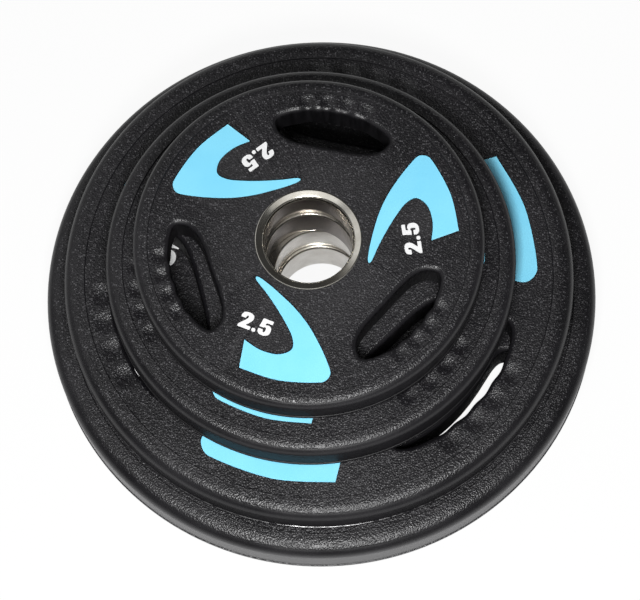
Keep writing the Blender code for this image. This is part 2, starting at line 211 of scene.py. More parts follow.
# Outline of one hook: share of its outer radius, and degrees on from the slot before it
HOOK_KNOTS = (
    (1.000, 44.7), (1.000, 60.0), (1.000, 76.6), (0.955, 80.2), (0.870, 79.8), (0.735, 77.0),
    (0.600, 71.4), (0.492, 61.2), (0.430, 47.0), (0.409, 33.0), (0.418, 21.6), (0.434, 18.6),
    (0.447, 21.4), (0.464, 34.0), (0.512, 46.0), (0.600, 56.8), (0.700, 63.0), (0.780, 63.4),
    (0.828, 57.5), (0.833, 49.0), (0.815, 40.6),
)
HOOK_MIDDLE = 62.4
HOOK_STEPS = 6


class Plate:
    """One plate's sizes in its own frame, with its underside at zero, and its place on the pile."""

    def __init__(self, label, underside):
        diameter, self.thick, grip, self.reach, self.inner_power = PLATE_SIZES[label][:5]
        land, self.edge_run, self.edge_drop = PLATE_SIZES[label][5:]
        self.hook_radius, self.hook_spread, self.hand, shift, turn = PLATE_LIES[label]
        self.label = label
        self.body = "plate_" + label
        self.radius = diameter / 2
        self.slot_outer = self.radius - grip
        self.land_inner = self.radius - land
        self.face_low = LAND_HEIGHT
        self.face_high = self.thick - LAND_HEIGHT
        self.core_low = self.face_low + FACE_SKIN
        self.core_high = self.face_high - FACE_SKIN
        self.dip = self.land_inner - FINGER_MARGIN - self.slot_outer
        self.middle = (*shift, underside)
        self.turn = Matrix.Rotation(math.radians(turn), 4, "Z")


plates = []
underside = 0.0
for label in PLATE_SIZES:
    plates.append(Plate(label, underside))
    underside += plates[-1].face_high + STACK_GAP


def shown(name, form, plate, *finishes):
    """Turn a finished form into an object that lies in its plate's place."""
    bmesh.ops.recalc_face_normals(form, faces=form.faces)
    mesh = bpy.data.meshes.new(name)
    form.to_mesh(mesh)
    form.free()
    mesh.transform(plate.turn)
    for finish in finishes:
        mesh.materials.append(finish)
    piece = bpy.data.objects.new(name, mesh)
    bpy.context.scene.collection.objects.link(piece)
    piece.location = plate.middle
    return piece


def skinned(form, rings, capped=True, bands=(), bay=1):
    """Skin a stack of rings, its last ring joined to its first if it isn't capped.

    The bands between the rings that are listed take the finish in that bay, the rest the first.
    """
    rows = [[form.verts.new(point) for point in ring] for ring in rings]
    pairs = list(zip(rows, rows[1:])) + ([] if capped else [(rows[-1], rows[0])])
    for band, (upper, lower) in enumerate(pairs):
        for i in range(len(upper)):
            j = (i + 1) % len(upper)
            face = form.faces.new((upper[i], lower[i], lower[j], upper[j]))
            face.material_index = bay if band in bands else 0
    if capped:
        form.faces.new(rows[0])
        form.faces.new(list(reversed(rows[-1])))


def turned(form, section, steps, bands, bay=1):
    """Turn a closed section about the plate's axis."""
    angles = [2 * math.pi * i / steps for i in range(steps)]
    rings = []
    for radius, height in section:
        rings.append([(radius * math.cos(a), radius * math.sin(a), height) for a in angles])
    skinned(form, rings, capped=False, bands=bands, bay=bay)


def about_axis(points, angle):
    """Plan or solid points turned about the plate's axis."""
    size = len(points[0])
    turn = Matrix.Rotation(angle, 3, "Z") if size == 3 else Matrix.Rotation(angle, 2)
    return [turn @ point for point in points]


def at_height(points, height):
    """Plan points lifted to one height."""
    return [Vector((point.x, point.y, height)) for point in points]


def grown(points, distance):
    """A counter-clockwise outline moved outwards, its corners kept."""
    moved = []
    for i, point in enumerate(points):
        before = (point - points[i - 1]).normalized()
        after = (points[(i + 1) % len(points)] - point).normalized()
        miter = Vector((before.y + after.y, -before.x - after.x))
        moved.append(point + miter * (2 * distance / miter.length_squared))
    return moved


def thinned(points, tolerance):
    """An open line without the points that lie closer to it than the tolerance."""
    chord = points[-1] - points[0]
    across = Vector((chord.y, -chord.x)).normalized()
    strays = [abs((point - points[0]).dot(across)) for point in points]
    worst = strays.index(max(strays))
    if strays[worst] < tolerance:
        return [points[0], points[-1]]
    return thinned(points[:worst + 1], tolerance)[:-1] + thinned(points[worst:], tolerance)


def gently(share):
    """A share that leaves nought and reaches one without a kink."""
    return share * share * (3 - 2 * share)


def curve(before, start, end, beyond, shares):
    """Points on a smooth curve from start to end, at these shares of the way."""
    leave, arrive = (end - before) / 2, (beyond - start) / 2
    longest = (end - start).length
    leave = leave.normalized() * min(leave.length, longest)
    arrive = arrive.normalized() * min(arrive.length, longest)
    line = []
    for t in shares:
        spot = start * (2 * t ** 3 - 3 * t ** 2 + 1) + end * (3 * t ** 2 - 2 * t ** 3)
        line.append(spot + leave * (t ** 3 - 2 * t ** 2 + t) + arrive * (t ** 3 - t ** 2))
    return line


def rim_point(plate, turn, from_top):
    """A point of the rim's rounding, its turn going from 0 at the face to 90 at the rim's side."""
    run, drop = (plate.edge_run, plate.edge_drop) if from_top else (LOWER_ROUND, LOWER_ROUND)
    depth = drop * (1 - math.cos(math.radians(turn)))
    radius = plate.radius - run * (1 - math.sin(math.radians(turn)))
    return radius, (plate.thick - depth if from_top else depth)


def casing_section(plate):
    """The casing's closed section, and which of its bands are the parting lip's shoulder."""
    land = plate.land_inner
    turns = [90 * i / EDGE_STEPS for i in range(EDGE_STEPS + 1)]
    steps = []
    for share in LAND_SHARES:
        steps.append((land - LAND_STEP + 2 * LAND_STEP * share, LAND_HEIGHT * gently(share)))
    outer_side = [(SEAT_RADIUS, plate.face_high), (land - LAND_STEP, plate.face_high)]
    outer_side += [(x, plate.face_high + lift) for x, lift in steps]
    outer_side += [rim_point(plate, turn, True) for turn in turns]
    lip = len(outer_side)
    outer_side += [(plate.radius - short, height) for short, height in PARTING_LIP]
    outer_side += [rim_point(plate, turn, False) for turn in reversed(turns)]
    outer_side += [(x, plate.face_low - lift) for x, lift in reversed(steps)]
    outer_side += [(land - LAND_STEP, plate.face_low), (SEAT_RADIUS, plate.face_low)]
    hollow = plate.radius - RIM_SKIN + STACK_GAP
    inner_side = [(SEAT_RADIUS, plate.core_low), (hollow, plate.core_low)]
    inner_side += [(hollow, plate.core_high), (SEAT_RADIUS, plate.core_high)]
    return outer_side + inner_side, (lip, lip + 1)


def slot_point(plate, angle, outer):
    """A point on a slot's plain wall, squarer on its outer side than on its inner."""
    shoulder = SLOT_SHOULDER * plate.reach
    power = SLOT_OUTER_POWER if outer else plate.inner_power
    depth = shoulder if outer else shoulder - plate.reach
    bulge = max(0.0, 1 - abs(angle / SLOT_HALF_ANGLE) ** power) ** (1 / power)
    radius = plate.slot_outer - shoulder + depth * bulge
    return Vector((radius * math.cos(angle), radius * math.sin(angle)))


def eased(start, end, count):
    """Angles that crowd together near both ends of their run."""
    middle, half = (start + end) / 2, (end - start) / 2
    return [middle - half * math.cos(math.pi * i / count) for i in range(count + 1)]


def slot_rest(plate, start):
    """The slot's wall from one angle on its outer side round by the hub to that angle's mirror."""
    tip = SLOT_HALF_ANGLE
    line = [slot_point(plate, a, True) for a in eased(start, tip, FINE_STEPS)]
    line += [slot_point(plate, a, False) for a in eased(tip, -tip, FINE_STEPS)[1:]]
    line += [slot_point(plate, a, True) for a in eased(-tip, -start, FINE_STEPS)[1:]]
    return line


def slot_outline(plate):
    """Points of a slot's wall, and how far each lies in a finger's scallop, from nought to one."""
    grip = FINGERS * FINGER_PITCH / 2
    steps = FINGERS * POINTS_PER_FINGER
    angles = [grip * (2 * i / steps - 1) for i in range(steps + 1)]
    points = [slot_point(plate, angle, True) for angle in angles]
    weights = [0.5 - 0.5 * math.cos(2 * math.pi * i / POINTS_PER_FINGER) for i in range(steps + 1)]
    rest = thinned(slot_rest(plate, grip), WALL_TOLERANCE)[1:-1]
    return points + rest, weights + [0.0] * len(rest)


def liner_outline(plate):
    """Outer side of the urethane wall round a slot, which fills the core's window."""
    wall = slot_rest(plate, 0.0)
    parting = len(wall) // 3
    first = thinned(wall[:parting + 1], LINER_TOLERANCE)
    second = thinned(wall[parting:], LINER_TOLERANCE)
    return grown(first[:-1] + second[:-1], LINER_WALL)


def outward(points, i):
    """Direction square to a counter-clockwise outline at one of its points."""
    along = (points[(i + 1) % len(points)] - points[i - 1]).normalized()
    return Vector((along.y, -along.x))


def mouth_ring(outline, turn, face, inwards, dip_depth):
    """One ring of a slot's rounded mouth: turn is 90 degrees at the face and 0 at the wall."""
    points, weights = outline
    ring = []
    for i, (point, weight) in enumerate(zip(points, weights)):
        scallop = weight * FINGER_SCALLOP
        dip = weight * dip_depth - GRAZE * math.sin(turn)
        out = scallop + (SLOT_ROUND - scallop) * (1 - math.cos(turn))
        spot = point + outward(points, i) * out
        depth = dip + (SLOT_ROUND - dip) * (1 - math.sin(turn))
        ring.append(Vector((spot.x, spot.y, face + inwards * depth)))
    return ring


def dip_ring(plate, outline, share):
    """One ring of the finger dips in the upper face, by its share of the way out to the land."""
    rise = gently(max(0.0, (share - FINGER_FLAT) / (1 - FINGER_FLAT)))
    points, weights = outline
    ring = []
    for i, (point, weight) in enumerate(zip(points, weights)):
        reach = min(1.0, DIP_SPREAD * weight) * (plate.dip - SLOT_ROUND) + DIP_GRAZE
        spot = point + outward(points, i) * (SLOT_ROUND + reach * share)
        depth = weight * FINGER_DEPTH * (1 - rise) - GRAZE - DIP_GRAZE * share
        ring.append(Vector((spot.x, spot.y, plate.face_high - depth)))
    return ring


def slot_rings(plate):
    """All rings of one hand slot, from above the plate to below it, and its dull bands."""
    outline = slot_outline(plate)
    high, low = plate.face_high, plate.face_low
    turns = [math.pi / 2 * k / MOUTH_STEPS for k in range(MOUTH_STEPS + 1)]
    rings = [dip_ring(plate, outline, share) for share in DIP_SHARES]
    rings += [mouth_ring(outline, turn, high, -1, FINGER_DEPTH) for turn in reversed(turns)]
    rings += [mouth_ring(outline, turn, low, 1, 0.0) for turn in turns]
    above = at_height(rings[0], high + CUT_MARGIN)
    below = at_height(rings[-1], low - CUT_MARGIN)
    mouth = 1 + len(DIP_SHARES)
    in_wall = sum(1 for turn in turns if turn <= WALL_TURN)
    bands = range(mouth + len(turns) - in_wall, mouth + len(turns) + in_wall)
    return [above] + rings + [below], bands


def hook_outline(plate):
    """One hook, counter-clockwise: a smooth line through the knots, closed by the blunt end."""
    knots = []
    for share, degrees in HOOK_KNOTS:
        angle = math.radians(HOOK_MIDDLE + plate.hook_spread * (degrees - HOOK_MIDDLE))
        knots.append(plate.hook_radius * share * Vector((math.cos(angle), math.sin(angle))))
    shares = [k / HOOK_STEPS for k in range(1, HOOK_STEPS + 1)]
    last = len(knots) - 1
    line = [knots[0]]
    for i in range(last):
        before, beyond = knots[max(i - 1, 0)], knots[min(i + 2, last)]
        line += curve(before, knots[i], knots[i + 1], beyond, shares)
    if plate.hand < 0:
        line = [Vector((point.x, -point.y)) for point in reversed(line)]
    return line


def tool(name, plate, stacks, bands=()):
    """A cutting or joining form made of several closed stacks of rings."""
    form = bmesh.new()
    for rings in stacks:
        skinned(form, rings, bands=bands)
    return shown(name, form, plate, None, None)


def worked(piece, operation, other):
    """Join or cut a piece by another, and take the other away."""
    boolean = piece.modifiers.new("work", "BOOLEAN")
    boolean.operation = operation
    boolean.solver = "EXACT"
    boolean.object = other
    graph = bpy.context.evaluated_depsgraph_get()
    mesh = bpy.data.meshes.new_from_object(piece.evaluated_get(graph))
    piece.modifiers.clear()
    piece.data = mesh
    bpy.data.objects.remove(other, do_unlink=True)


def smoothed(piece):
    """Shade a piece smooth but for its real edges, with flat faces left flat."""
    piece.data.shade_smooth()
    piece.data.set_sharp_from_angle(angle=SHARP_ANGLE)
    piece.modifiers.new("even_shading", "WEIGHTED_NORMAL").keep_sharp = True


def casing(plate, *finishes):
    """One plate's casing; the finishes are its skin's, its slots' and the rubbed lip's."""
    form = bmesh.new()
    section, lip = casing_section(plate)
    turned(form, section, CASING_STEPS, lip, LIP_BAYS[plate.label])
    piece = shown(plate.body + "_cast_casing", form, plate, *finishes)
    liner = liner_outline(plate)
    low, high = plate.core_low - FACE_SKIN / 2, plate.core_high + FACE_SKIN / 2
    stacks = []
    for turn in SLOT_TURNS:
        ring = about_axis(liner, turn)
        stacks.append([at_height(ring, high), at_height(ring, low)])
    worked(piece, "UNION", tool("liners", plate, stacks))
    rings, bands = slot_rings(plate)
    stacks = [[about_axis(ring, turn) for ring in rings] for turn in SLOT_TURNS]
    worked(piece, "DIFFERENCE", tool("slots", plate, stacks, bands))
    pocket = grown(hook_outline(plate), POCKET_ROOM)
    low, high = plate.face_high - POCKET_DEPTH, plate.face_high + CUT_MARGIN
    stacks = []
    for turn in SLOT_TURNS:
        ring = about_axis(pocket, turn)
        stacks.append([at_height(ring, high), at_height(ring, low)])
    worked(piece, "DIFFERENCE", tool("pockets", plate, stacks, (0,)))
    piece.data.name = piece.name
    smoothed(piece)
    return piece


URETHANE_DARK = (0.0055, 0.0052, 0.0064, 1.0)
URETHANE_LIGHT = (0.0095, 0.0089, 0.0107, 1.0)
URETHANE_SCUFFED = (0.040, 0.039, 0.041, 1.0)
URETHANE_CHALKY = (0.120, 0.118, 0.124, 1.0)
URETHANE_ROUGH = (0.32, 0.42)
URETHANE_CLOUDS_PER_METRE = 26.0
PEBBLE_PER_METRE = 980.0
PEBBLE_SOFTNESS = 0.35
PEBBLE_HEIGHT = 0.00025
PEBBLE_ON_WALLS = 0.08
PEBBLE_FINE_PER_METRE = 2400.0
PEBBLE_FINE_SHARE = 0.25
# Painted highlights on the pebbles' crests, which are also made smoother: their painted glint
# colour, how many there are, which are picked and how wide, and how much less rough they are
PAINTED_GLINT = (0.118, 0.116, 0.123, 1.0)
GLINTS_PER_METRE = 1000.0
GLINT_LOTS = (0.60, 0.97)
GLINT_WIDTHS = (0.20, 0.55)
GLINT_POLISH = -0.10
# Scuffs on the rim's side: which clouds they follow, and their least share between those
SCUFF_CLOUDS = (0.30, 0.60)
SCUFFS_LEAST = 0.6
# By how flat a spot lies, from nought on the rim's side to one on a face: where the pebbles begin
# and where the finish of the rim's side ends
PEBBLED_FROM = (0.86, 0.95)
SIDE_UNTIL = (0.15, 0.60)
FACE_SHINE = 0.5
# The rim's side: how much it mirrors, how much duller it is than the faces, how far it is scuffed
SIDE_NEW = (0.12, 0.24, 0.0)
SIDE_RUBBED = (0.50, 0.06, 0.55)
# The walls' colours are darker than the skin's: painted shade for the slots' shaded insides
WALL_SHADE_DARK = (0.0030, 0.0028, 0.0034, 1.0)
WALL_SHADE_LIGHT = (0.0060, 0.0056, 0.0068, 1.0)
WALL_ROUGH = (0.46, 0.60)
WALL_SHINE = 0.3
DRAW_MARKS_PER_METRE = 420.0
DRAW_MARK_HEIGHT = 0.00008
DRAW_MARK_STRETCH = (1.0, 1.0, 0.12)
FLASH_ROUGH = (0.10, 0.34)
SCRATCHES_PER_METRE = 300.0
SCRATCH_HEIGHT = 0.00004


def maths(finish, operation, *values):
    """One step of arithmetic between shader values."""
    return node(finish, "Math", dict(enumerate(values)), operation=operation).outputs[0]


def worn(finish, shade, edge_colour, low, high, most):
    """A colour that gives way to another on edges, between these two sharpnesses."""
    edges = node(finish, "NewGeometry", {}).outputs["Pointiness"]
    return blended(finish, spread(finish, edges, low, high, 0.0, most), shade, edge_colour)


def pebbled(name, side):
    """Black urethane with moulded pebbles on its faces and smooth, satin sides."""
    side_shine, side_dulling, side_scuffs = side
    finish, shader, place = new_finish(name, 0.0)
    normal = node(finish, "TexCoord", {}).outputs["Normal"]
    flatness = maths(finish, "ABSOLUTE", node(finish, "SeparateXYZ", {0: normal}).outputs["Z"])
    on_faces = spread(finish, flatness, *PEBBLED_FROM, PEBBLE_ON_WALLS, 1.0)
    feeds = {"Vector": place, "Scale": PEBBLE_PER_METRE, "Smoothness": PEBBLE_SOFTNESS}
    pebbles = node(finish, "TexVoronoi", feeds, feature="SMOOTH_F1").outputs["Distance"]
    pebbles = maths(finish, "MULTIPLY_ADD", pebbles, -1.0, 1.0)
    fine = noise(finish, place, PEBBLE_FINE_PER_METRE, detail=2.0)
    skin = maths(finish, "MULTIPLY_ADD", fine, PEBBLE_FINE_SHARE, pebbles)
    skin = maths(finish, "MULTIPLY", skin, on_faces)
    clouds = noise(finish, place, URETHANE_CLOUDS_PER_METRE)
    shade = mottled(finish, clouds, URETHANE_DARK, URETHANE_LIGHT)
    shade = worn(finish, shade, URETHANE_SCUFFED, low=0.515, high=0.56, most=0.35)
    if side_scuffs:
        scuffs = spread(finish, flatness, *SIDE_UNTIL, side_scuffs, 0.0)
        patches = spread(finish, clouds, *SCUFF_CLOUDS, SCUFFS_LEAST, 1.0)
        shade = blended(finish, maths(finish, "MULTIPLY", scuffs, patches), shade, URETHANE_CHALKY)
    # Painted glints: a share of the pebbles' crests on the faces is painted lighter as highlights,
    # and made a little less rough
    grains = node(finish, "TexVoronoi", {"Vector": place, "Scale": GLINTS_PER_METRE}).outputs
    lots = node(finish, "SeparateXYZ", {0: grains["Color"]}).outputs["X"]
    crests = spread(finish, grains["Distance"], *GLINT_WIDTHS, 1.0, 0.0)
    glints_and_polish = maths(finish, "MULTIPLY", spread(finish, lots, *GLINT_LOTS, 0.0, 1.0), crests)
    glints_and_polish = maths(finish, "MULTIPLY", glints_and_polish, on_faces)
    shade = blended(finish, glints_and_polish, shade, PAINTED_GLINT)
    rough = roughened(finish, clouds, *URETHANE_ROUGH)
    rough = maths(finish, "MULTIPLY_ADD", glints_and_polish, GLINT_POLISH, rough)
    rough = maths(finish, "ADD", rough, spread(finish, flatness, *SIDE_UNTIL, side_dulling, 0.0))
    plug(finish, shader, shade, rough, skin, PEBBLE_HEIGHT)
    satin = spread(finish, flatness, *SIDE_UNTIL, side_shine, FACE_SHINE)
    finish.node_tree.links.new(satin, shader.inputs["Specular IOR Level"])
    return finish


urethane = pebbled("pebbled_black_urethane", SIDE_NEW)
# The lowest plate's side is scuffed grey and rubbed shinier by the floor and by handling
scuffed_urethane = pebbled("pebbled_scuffed_urethane", SIDE_RUBBED)

# The slots' walls come off a blasted insert in the mould: plain, dull, with faint draw marks, and
# coloured darker than the skin as painted shade inside the slots
wall, shader, place = new_finish("dull_slot_wall_painted_shade", 0.0)
shader.inputs["Specular IOR Level"].default_value = WALL_SHINE
stretched = node(wall, "Mapping", {"Vector": place, "Scale": DRAW_MARK_STRETCH}).outputs[0]
draws = noise(wall, stretched, DRAW_MARKS_PER_METRE)
shade = mottled(wall, draws, WALL_SHADE_DARK, WALL_SHADE_LIGHT)
shade = worn(wall, shade, URETHANE_SCUFFED, low=0.52, high=0.58, most=0.25)
plug(wall, shader, shade, roughened(wall, draws, *WALL_ROUGH), draws, DRAW_MARK_HEIGHT)

# Where the flash of the mould is rubbed bright it keeps faint scratches across it
flash, shader, place = new_finish("rubbed_flash_line", 0.0)
scratches = noise(flash, place, SCRATCHES_PER_METRE, detail=4.0)
shade = mottled(flash, scratches, URETHANE_LIGHT, URETHANE_SCUFFED)
rough = roughened(flash, scratches, *FLASH_ROUGH, low=0.40, high=0.60)
plug(flash, shader, shade, rough, scratches, SCRATCH_HEIGHT)

for plate in plates:
    skin = scuffed_urethane if plate.label == "15" else urethane
    piece = casing(plate, skin, wall, flash)
    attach(piece, plate.body)
    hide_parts(plate.body + "_casing")


# ---------------------------------------------------------------------------------------------
# Hub rings. A turned steel ring pressed through the middle of each plate, a hair proud of both
# faces. The top one has a broad cone that leads the bar in, the others a small rounded mouth, and
# the tool's fine circular marks stay on all of them.
# ---------------------------------------------------------------------------------------------

BORE_RADIUS = 0.0253
# From a face outwards: radius, and height over the face
RING_MOUTH = (
    (RING_RADIUS, 0.00010), (0.03035, 0.00028), (0.0301, 0.00035), (0.0298, 0.00035),
    (0.02955, 0.00028), (0.0270, -0.00060), (0.02655, -0.00082), (0.0262, -0.00110),
    (0.0259, -0.00150), (0.0256, -0.00205), (0.0254, -0.00265), (BORE_RADIUS, -0.00330),
)
# On the lower plates the ring's upper mouth is only rounded over
RING_MOUTH_PLAIN = (
    (RING_RADIUS, 0.00010), (0.03035, 0.00028), (0.0301, 0.00035), (0.0261, 0.00035),
    (0.0259, 0.00028), (0.0257, 0.00008), (0.0255, -0.00026), (0.02537, -0.00062),
    (BORE_RADIUS, -0.00105),
)
# The ring's lower mouth is only broken at its edge
RING_FOOT = (
    (RING_RADIUS, 0.00010), (0.0303, 0.00030), (0.0259, 0.00030), (0.0256, 0.00018),
    (BORE_RADIUS, -0.00020),
)
RING_STEPS = 144
STEEL_ROUGH = (0.15, 0.25)
STEEL_SMEARS_PER_METRE = 90.0
STEEL_WORN = (0.78, 0.77, 0.74, 1.0)
STEEL_LIGHT = (0.70, 0.68, 0.62, 1.0)
STEEL_DARK = (0.47, 0.44, 0.385, 1.0)
# Painted shade and painted light in the bore walls: a dark brown copy of the steel for the two
# upper rings, a pale copy for the two lower ones
SHADED_BORE_LIGHT = (0.150, 0.120, 0.102, 1.0)
SHADED_BORE_DARK = (0.085, 0.066, 0.056, 1.0)
LIT_BORE_LIGHT = (0.92, 0.90, 0.86, 1.0)
LIT_BORE_DARK = (0.78, 0.75, 0.70, 1.0)
SHADED_BORE_PLATES = ("5", "2_5")
TOOL_MARKS_PER_METRE = 2600.0
TOOL_MARK_HEIGHT = 0.000018


def hub_ring(plate, finish, bore_finish):
    """One plate's steel ring, its plain bore wall in a finish of its own."""
    mouth = RING_MOUTH if plate.label == "2_5" else RING_MOUTH_PLAIN
    upper = [(radius, plate.face_high + height) for radius, height in mouth]
    lower = [(radius, plate.face_low - height) for radius, height in reversed(RING_FOOT)]
    form = bmesh.new()
    turned(form, upper + lower, RING_STEPS, (len(upper) - 1,))
    piece = shown(plate.body + "_turned_ring", form, plate, finish, bore_finish)
    smoothed(piece)
    return piece


def turned_steel(name, light, dark):
    """Bare steel with the tool's fine marks running round the axis."""
    finish, shader, place = new_finish(name, 1.0)
    parts = node(finish, "SeparateXYZ", {0: place}).outputs
    flat_place = node(finish, "CombineXYZ", {"X": parts["X"], "Y": parts["Y"]}).outputs[0]
    off_axis = node(finish, "VectorMath", {0: flat_place}, operation="LENGTH").outputs["Value"]
    in_section = node(finish, "CombineXYZ", {"X": off_axis, "Y": parts["Z"]}).outputs[0]
    marks = noise(finish, in_section, TOOL_MARKS_PER_METRE, noise_dimensions="2D")
    smears = noise(finish, place, STEEL_SMEARS_PER_METRE, detail=4.0)
    shade = mottled(finish, smears, light, dark, high=0.70)
    shade = worn(finish, shade, STEEL_WORN, low=0.52, high=0.60, most=0.6)
    rough = roughened(finish, smears, *STEEL_ROUGH)
    plug(finish, shader, shade, rough, marks, TOOL_MARK_HEIGHT)
    return finish


steel = turned_steel("turned_steel", STEEL_LIGHT, STEEL_DARK)
# The bore walls of the two upper rings are painted dark and brown as shade, the lower ones' pale as
# the lit floor they mirror
shaded_bore_steel = turned_steel("painted_shade_bore_steel", SHADED_BORE_LIGHT, SHADED_BORE_DARK)
lit_bore_steel = turned_steel("painted_light_bore_steel", LIT_BORE_LIGHT, LIT_BORE_DARK)

for plate in plates:
    bore = shaded_bore_steel if plate.label in SHADED_BORE_PLATES else lit_bore_steel
    piece = hub_ring(plate, steel, bore)
    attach(piece, plate.body)
    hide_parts(plate.body + "_hub_ring")


# ---------------------------------------------------------------------------------------------
# Colour inlays. Three hooks of sky-blue urethane poured into the pockets of each upper face and
# levelled with it, their edges just broken, with a hair of dark pocket left round them.
# ---------------------------------------------------------------------------------------------

INLAY_THICK = 0.0008
INLAY_BELOW_FACE = 0.00004
INLAY_BEVEL = 0.00022
# How far in and down the bevel's middle lies, as a share of the bevel
INLAY_BEVEL_MIDDLE = 0.3
BLUE_LIGHT = (0.190, 0.700, 0.975, 1.0)
BLUE_DEEP = (0.155, 0.650, 0.940, 1.0)
BLUE_EDGE = (0.42, 0.86, 1.0, 1.0)
BLUE_ROUGH = (0.38, 0.52)
BLUE_CLOUDS_PER_METRE = 40.0
INLAY_GRAIN_PER_METRE = 1500.0
INLAY_GRAIN_HEIGHT = 0.00004


def inlay(plate, number, turn, finish):
    """One hook of colour, its upper edge bevelled in two facets."""
    outline = about_axis(hook_outline(plate), turn)
    top, foot = plate.face_high - INLAY_BELOW_FACE, plate.face_high - INLAY_THICK
    middle = INLAY_BEVEL * INLAY_BEVEL_MIDDLE
    rings = [at_height(grown(outline, -INLAY_BEVEL), top)]
    rings += [at_height(grown(outline, -middle), top - middle)]
    rings += [at_height(outline, top - INLAY_BEVEL), at_height(outline, foot)]
    form = bmesh.new()
    skinned(form, rings)
    piece = shown("%s_poured_inlay_%d" % (plate.body, number), form, plate, finish)
    smoothed(piece)
    return piece


blue, shader, place = new_finish("sky_blue_urethane", 0.0)
clouds = noise(blue, place, BLUE_CLOUDS_PER_METRE)
grain = noise(blue, place, INLAY_GRAIN_PER_METRE)
shade = mottled(blue, clouds, BLUE_DEEP, BLUE_LIGHT)
shade = worn(blue, shade, BLUE_EDGE, low=0.51, high=0.58, most=0.5)
plug(blue, shader, shade, roughened(blue, grain, *BLUE_ROUGH), grain, INLAY_GRAIN_HEIGHT)

for plate in plates:
    for number, turn in enumerate(SLOT_TURNS, 1):
        piece = inlay(plate, number, turn, blue)
        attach(piece, plate.body)
        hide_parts("%s_inlay_%d" % (plate.body, number))


# ---------------------------------------------------------------------------------------------
# Numbers. The plate's weight, printed three times in thick white paint inside the hooks' bends,
# its feet towards the rim. Heavy, round-cornered figures that stand just proud of the face.
# ---------------------------------------------------------------------------------------------

# Each figure: how far on the next one starts, its outline counter-clockwise and its inner outline
# if it has one, all in shares of the figures' height
FIGURES = {
    "0": (0.84, (
        (0.40, -0.01), (0.62, 0.05), (0.76, 0.24), (0.78, 0.50), (0.76, 0.76), (0.62, 0.95),
        (0.40, 1.01), (0.18, 0.95), (0.04, 0.76), (0.02, 0.50), (0.04, 0.24), (0.18, 0.05),
    ), (
        (0.40, 0.20), (0.455, 0.22), (0.485, 0.30), (0.49, 0.50), (0.485, 0.70), (0.455, 0.78),
        (0.40, 0.80), (0.345, 0.78), (0.315, 0.70), (0.31, 0.50), (0.315, 0.30), (0.345, 0.22),
    )),
    "1": (0.56, (
        (0.20, 0.0), (0.46, 0.0), (0.49, 0.03), (0.49, 0.50), (0.49, 0.97), (0.46, 1.0),
        (0.30, 1.0), (0.24, 0.95), (0.14, 0.89), (0.03, 0.86), (0.0, 0.83), (0.0, 0.70),
        (0.03, 0.67), (0.15, 0.67), (0.18, 0.64), (0.17, 0.50), (0.17, 0.03),
    ), ()),
    "2": (0.84, (
        (0.04, 0.0), (0.40, 0.0), (0.73, 0.0), (0.76, 0.03), (0.76, 0.19), (0.73, 0.22),
        (0.47, 0.22), (0.46, 0.26), (0.58, 0.40), (0.70, 0.57), (0.745, 0.74), (0.68, 0.92),
        (0.50, 1.0), (0.28, 1.0), (0.08, 0.93), (0.0, 0.77), (0.0, 0.65), (0.03, 0.62),
        (0.26, 0.62), (0.29, 0.65), (0.31, 0.76), (0.36, 0.80), (0.42, 0.77), (0.42, 0.68),
        (0.34, 0.54), (0.16, 0.34), (0.03, 0.18), (0.0, 0.12), (0.0, 0.03),
    ), ()),
    "5": (0.84, (
        (0.38, -0.01), (0.58, 0.03), (0.73, 0.17), (0.77, 0.38), (0.72, 0.57), (0.58, 0.665),
        (0.44, 0.66), (0.36, 0.63), (0.34, 0.66), (0.36, 0.76), (0.40, 0.78), (0.69, 0.78),
        (0.72, 0.81), (0.72, 0.97), (0.69, 1.0), (0.40, 1.0), (0.12, 1.0), (0.08, 0.97),
        (0.06, 0.72), (0.03, 0.49), (0.05, 0.46), (0.28, 0.46), (0.32, 0.49), (0.37, 0.51),
        (0.43, 0.48), (0.455, 0.36), (0.44, 0.24), (0.385, 0.195), (0.33, 0.22), (0.31, 0.31),
        (0.28, 0.34), (0.05, 0.34), (0.02, 0.31), (0.04, 0.14), (0.17, 0.02),
    ), ()),
    ".": (0.34, (
        (0.04, 0.02), (0.13, -0.01), (0.22, 0.02), (0.25, 0.11), (0.22, 0.20), (0.13, 0.23),
        (0.04, 0.20), (0.01, 0.11),
    ), ()),
}
FIGURE_GAP = 0.08
# The figures' height and how far out their feet stand, as shares of the plate's radius
FIGURE_HEIGHT_SHARE = 0.0967
FIGURE_FOOT_SHARE = 0.633
# Each plate: degrees from a slot's middle to its number's, and metres outwards from the share above
FIGURE_PLACES = {"15": (42.0, 0.0), "10": (27.4, 0.0034), "5": (42.0, 0.0), "2_5": (42.0, 0.0)}
FIGURE_TILT = math.radians(7.0)
FIGURE_STEPS = 5
FIGURE_DEEP = 0.00006
FIGURE_PROUD = 0.00012
FIGURE_BEVEL = 0.00008
PAINT_WHITE = (0.90, 0.90, 0.90, 1.0)
PAINT_SHADED = (0.78, 0.79, 0.80, 1.0)
PAINT_ROUGH = (0.42, 0.58)
PAINT_GRAIN_PER_METRE = 1400.0
PAINT_GRAIN_HEIGHT = 0.00003


def pen_line(points, scale, start):
    """A smooth closed line through a figure's points."""
    spots = [Vector((start + x, y)) * scale for x, y in points]
    shares = [k / FIGURE_STEPS for k in range(FIGURE_STEPS)]
    line = []
    for i, here in enumerate(spots):
        after, beyond = spots[(i + 1) % len(spots)], spots[(i + 2) % len(spots)]
        line += curve(spots[i - 1], here, after, beyond, shares)
    return line


